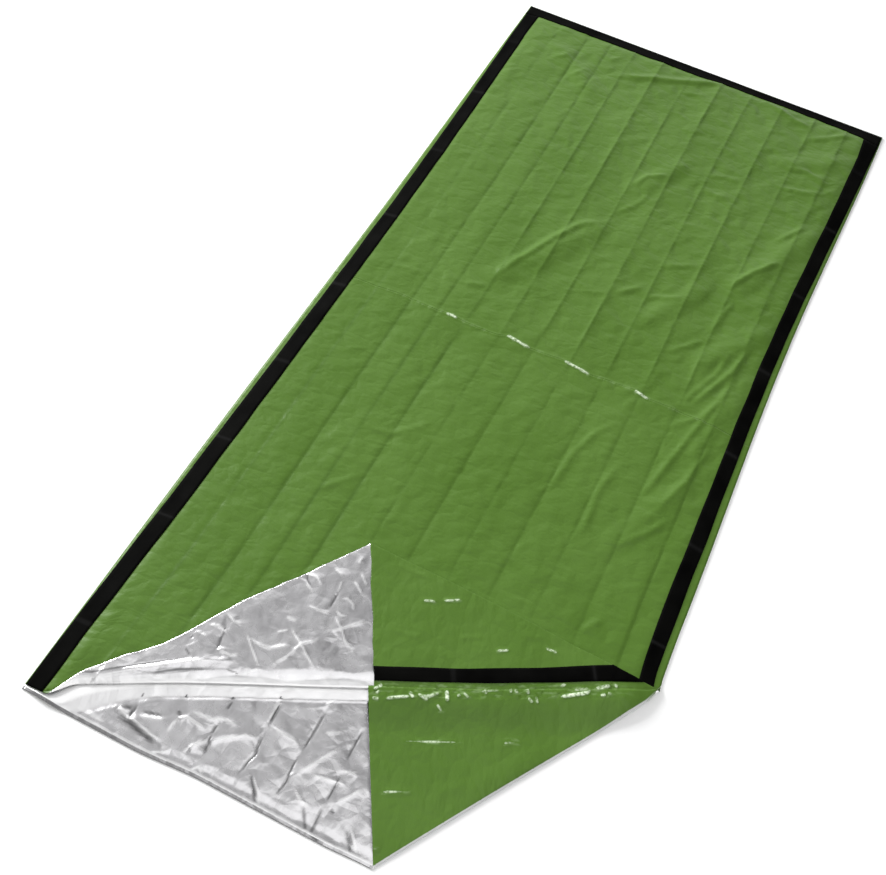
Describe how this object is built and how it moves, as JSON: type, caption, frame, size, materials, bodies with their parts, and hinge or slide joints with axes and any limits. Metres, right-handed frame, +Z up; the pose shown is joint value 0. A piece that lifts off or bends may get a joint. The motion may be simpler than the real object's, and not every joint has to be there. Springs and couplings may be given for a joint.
{
  "type": "emergency sleeping bag",
  "caption": "Thin film emergency sleeping bag spread out flat, green outside and silver inside, taped along its sides and foot, with one mouth corner folded back.",
  "frame": {"origin": "on the floor, under the middle of the bag's width and length", "axes": "+Y from the mouth to the foot, +X to the right, on the side of the folded corner, +Z up"},
  "size_m": [0.9005, 2.0002, 0.0193],
  "materials": {
    "green_film": "soft gloss, crinkled",
    "silver_film": "metallised, crumpled",
    "black_tape": "matte"
  },
  "bodies": {
    "root": {"bottom_panel": "green_film", "top_panel": "green_film", "left_tape": "black_tape", "right_tape": "black_tape", "foot_tape": "black_tape"}
  },
  "joints": []
}
